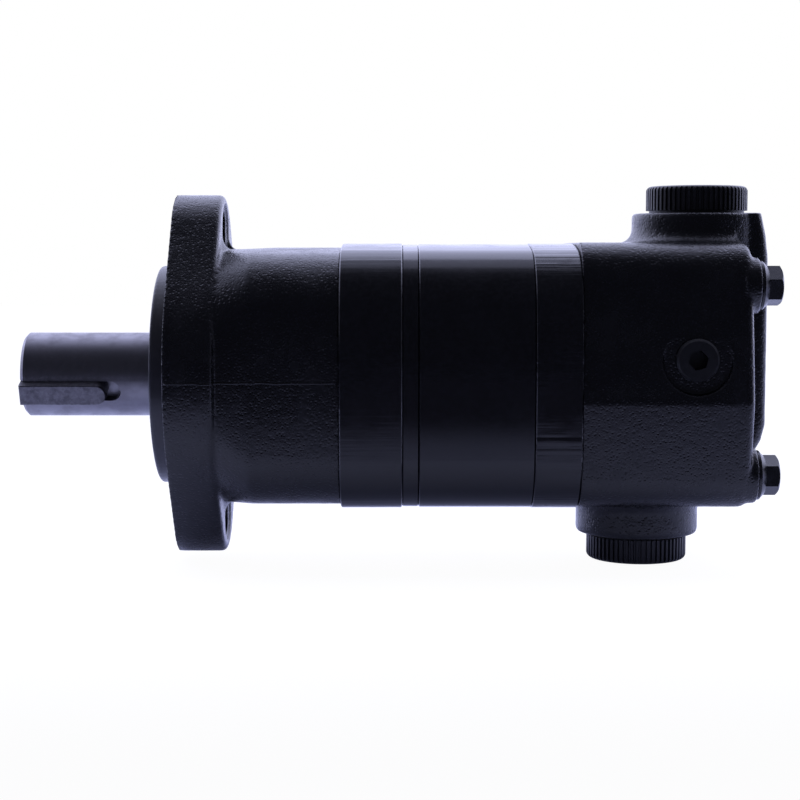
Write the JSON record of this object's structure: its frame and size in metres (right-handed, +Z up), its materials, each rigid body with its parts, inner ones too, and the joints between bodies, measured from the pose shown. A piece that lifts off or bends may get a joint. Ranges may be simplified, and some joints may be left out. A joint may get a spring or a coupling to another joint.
{
  "type": "hydraulic motor",
  "caption": "Disc-valve orbital hydraulic motor with a two-bolt pilot flange, keyed parallel shaft, stacked gear section and capped top and bottom ports.",
  "frame": {"origin": "centre of the mounting face, on the shaft axis, where the pilot meets the flange", "axes": "+X along the shaft axis from the flange to the rear cover, so the shaft end points to -X; +Z up through the two flange slots and the two ports; the drain plug is on the -Y side"},
  "size_m": [0.2795, 0.103, 0.1418],
  "materials": {
    "black_casting_paint": "gloss black paint over sand-cast iron",
    "black_plate_paint": "gloss black paint over machined plate",
    "black_bolt_paint": "black paint",
    "shaft_steel": "ground steel, slightly stained",
    "key_steel": "dull drawn steel",
    "bearing_steel": "ground and polished",
    "cage_steel": "pressed sheet",
    "gear_steel": "ground and lapped",
    "drive_steel": "heat-treated, dark",
    "valve_iron": "lapped iron",
    "washer_steel": "bright",
    "seal_rubber": "matt black",
    "seal_ring_rubber": "dark brown, slightly shiny",
    "cap_plastic": "moulded black, fine texture"
  },
  "bodies": {
    "housing": {"front_housing": "black_casting_paint", "valve_housing": "black_casting_paint", "spacer_plate": "black_plate_paint", "wear_plate": "black_plate_paint", "gear_ring": "black_plate_paint", "valve_plate": "black_plate_paint", "body_bolts": "black_bolt_paint", "drain_plug": "black_bolt_paint", "drain_plug_seal": "seal_rubber", "dust_seal": "seal_rubber", "shaft_seal": "seal_rubber", "seal_backup_washer": "washer_steel", "bearing_shim": "washer_steel", "front_bearing_outer_race": "bearing_steel", "rear_bearing_outer_race": "bearing_steel", "face_seals": "seal_ring_rubber", "balance_springs": "washer_steel"},
    "shaft": {"output_shaft": "shaft_steel", "shaft_key": "key_steel", "front_bearing_inner_race": "bearing_steel", "rear_bearing_inner_race": "bearing_steel"},
    "front_bearing_roller_set": {"front_bearing_rollers": "bearing_steel", "front_bearing_cage": "cage_steel"},
    "rear_bearing_roller_set": {"rear_bearing_rollers": "bearing_steel", "rear_bearing_cage": "cage_steel"},
    "orbit": {"drive_spacer": "drive_steel"},
    "star": {"star": "gear_steel"},
    "main_drive": {"main_drive": "drive_steel"},
    "valve_drive": {"valve_drive": "drive_steel"},
    "rotary_valve": {"rotary_valve": "valve_iron"},
    "balance_ring": {"balance_ring": "valve_iron", "balance_seals": "seal_ring_rubber", "balance_pins": "washer_steel"},
    "top_cap_seal": {"top_cap_seal": "seal_rubber"},
    "top_port_cap": {"top_port_cap": "cap_plastic"},
    "bottom_cap_seal": {"bottom_cap_seal": "seal_rubber"},
    "bottom_port_cap": {"bottom_port_cap": "cap_plastic"},
    "gear_roller_1": {"gear_roller_1": "gear_steel"},
    "gear_roller_2": {"gear_roller_2": "gear_steel"},
    "gear_roller_3": {"gear_roller_3": "gear_steel"},
    "gear_roller_4": {"gear_roller_4": "gear_steel"},
    "gear_roller_5": {"gear_roller_5": "gear_steel"},
    "gear_roller_6": {"gear_roller_6": "gear_steel"},
    "gear_roller_7": {"gear_roller_7": "gear_steel"}
  },
  "joints": [
    {"name": "shaft_spin", "type": "hinge", "parent": "housing", "child": "shaft", "pos_m": [0, 0, 0], "axis": [1, 0, 0], "continuous": true},
    {"name": "front_bearing_spin", "type": "hinge", "parent": "housing", "child": "front_bearing_roller_set", "pos_m": [0.02, 0, 0], "axis": [1, 0, 0], "continuous": true},
    {"name": "rear_bearing_spin", "type": "hinge", "parent": "housing", "child": "rear_bearing_roller_set", "pos_m": [0.05, 0, 0], "axis": [1, 0, 0], "continuous": true},
    {"name": "star_orbit", "type": "hinge", "parent": "housing", "child": "orbit", "pos_m": [0.1118, 0, 0], "axis": [1, 0, 0], "continuous": true},
    {"name": "star_spin", "type": "hinge", "parent": "orbit", "child": "star", "pos_m": [0.1118, 0, -0.0032], "axis": [1, 0, 0], "continuous": true},
    {"name": "main_drive_spin", "type": "hinge", "parent": "orbit", "child": "main_drive", "pos_m": [0.046, 0, 0], "axis": [0.9985, 0, -0.0556], "continuous": true},
    {"name": "valve_drive_spin", "type": "hinge", "parent": "orbit", "child": "valve_drive", "pos_m": [0.164, 0, 0], "axis": [0.9966, 0, 0.0828], "continuous": true},
    {"name": "rotary_valve_spin", "type": "hinge", "parent": "housing", "child": "rotary_valve", "pos_m": [0.155, 0, 0], "axis": [1, 0, 0], "continuous": true},
    {"name": "gear_roller_1_spin", "type": "hinge", "parent": "housing", "child": "gear_roller_1", "pos_m": [0.1118, 0, -0.0315], "axis": [1, 0, 0], "continuous": true},
    {"name": "gear_roller_2_spin", "type": "hinge", "parent": "housing", "child": "gear_roller_2", "pos_m": [0.1118, 0.02463, -0.01964], "axis": [1, 0, 0], "continuous": true},
    {"name": "gear_roller_3_spin", "type": "hinge", "parent": "housing", "child": "gear_roller_3", "pos_m": [0.1118, 0.03071, 0.00701], "axis": [1, 0, 0], "continuous": true},
    {"name": "gear_roller_4_spin", "type": "hinge", "parent": "housing", "child": "gear_roller_4", "pos_m": [0.1118, 0.01367, 0.02838], "axis": [1, 0, 0], "continuous": true},
    {"name": "gear_roller_5_spin", "type": "hinge", "parent": "housing", "child": "gear_roller_5", "pos_m": [0.1118, -0.01367, 0.02838], "axis": [1, 0, 0], "continuous": true},
    {"name": "gear_roller_6_spin", "type": "hinge", "parent": "housing", "child": "gear_roller_6", "pos_m": [0.1118, -0.03071, 0.00701], "axis": [1, 0, 0], "continuous": true},
    {"name": "gear_roller_7_spin", "type": "hinge", "parent": "housing", "child": "gear_roller_7", "pos_m": [0.1118, -0.02463, -0.01964], "axis": [1, 0, 0], "continuous": true},
    {"name": "balance_ring_float", "type": "slide", "parent": "housing", "child": "balance_ring", "axis": [1, 0, 0], "range_m": [0, 0.001], "stiffness_N_per_m": 4000, "springref_m": -0.003, "deforming": ["balance_springs"]},
    {"name": "top_cap_lift", "type": "slide", "parent": "housing", "child": "top_cap_seal", "axis": [0, 0, 1], "range_m": [0, 0.0128]},
    {"name": "top_cap_turn", "type": "hinge", "parent": "top_cap_seal", "child": "top_port_cap", "pos_m": [0.1967, 0, 0.061], "axis": [0, 0, 1], "range_deg": [0, 2160]},
    {"name": "bottom_cap_lift", "type": "slide", "parent": "housing", "child": "bottom_cap_seal", "axis": [0, 0, -1], "range_m": [0, 0.0128]},
    {"name": "bottom_cap_turn", "type": "hinge", "parent": "bottom_cap_seal", "child": "bottom_port_cap", "pos_m": [0.1752, 0, -0.0604], "axis": [0, 0, -1], "range_deg": [0, 2160]}
  ],
  "couplings": [
    {"joint": "front_bearing_spin", "follows": "shaft_spin", "ratio": 0.42418},
    {"joint": "rear_bearing_spin", "follows": "shaft_spin", "ratio": 0.4417},
    {"joint": "star_orbit", "follows": "shaft_spin", "ratio": -6},
    {"joint": "star_spin", "follows": "shaft_spin", "ratio": 7},
    {"joint": "main_drive_spin", "follows": "shaft_spin", "ratio": 7},
    {"joint": "valve_drive_spin", "follows": "shaft_spin", "ratio": 7},
    {"joint": "rotary_valve_spin", "follows": "shaft_spin", "ratio": 1},
    {"joint": "gear_roller_1_spin", "follows": "shaft_spin", "ratio": -4.6107},
    {"joint": "gear_roller_2_spin", "follows": "shaft_spin", "ratio": -4.6107},
    {"joint": "gear_roller_3_spin", "follows": "shaft_spin", "ratio": -4.6107},
    {"joint": "gear_roller_4_spin", "follows": "shaft_spin", "ratio": -4.6107},
    {"joint": "gear_roller_5_spin", "follows": "shaft_spin", "ratio": -4.6107},
    {"joint": "gear_roller_6_spin", "follows": "shaft_spin", "ratio": -4.6107},
    {"joint": "gear_roller_7_spin", "follows": "shaft_spin", "ratio": -4.6107},
    {"joint": "top_cap_lift", "follows": "top_cap_turn", "m_per_rad": 0.00033693},
    {"joint": "bottom_cap_lift", "follows": "bottom_cap_turn", "m_per_rad": 0.00033693}
  ]
}
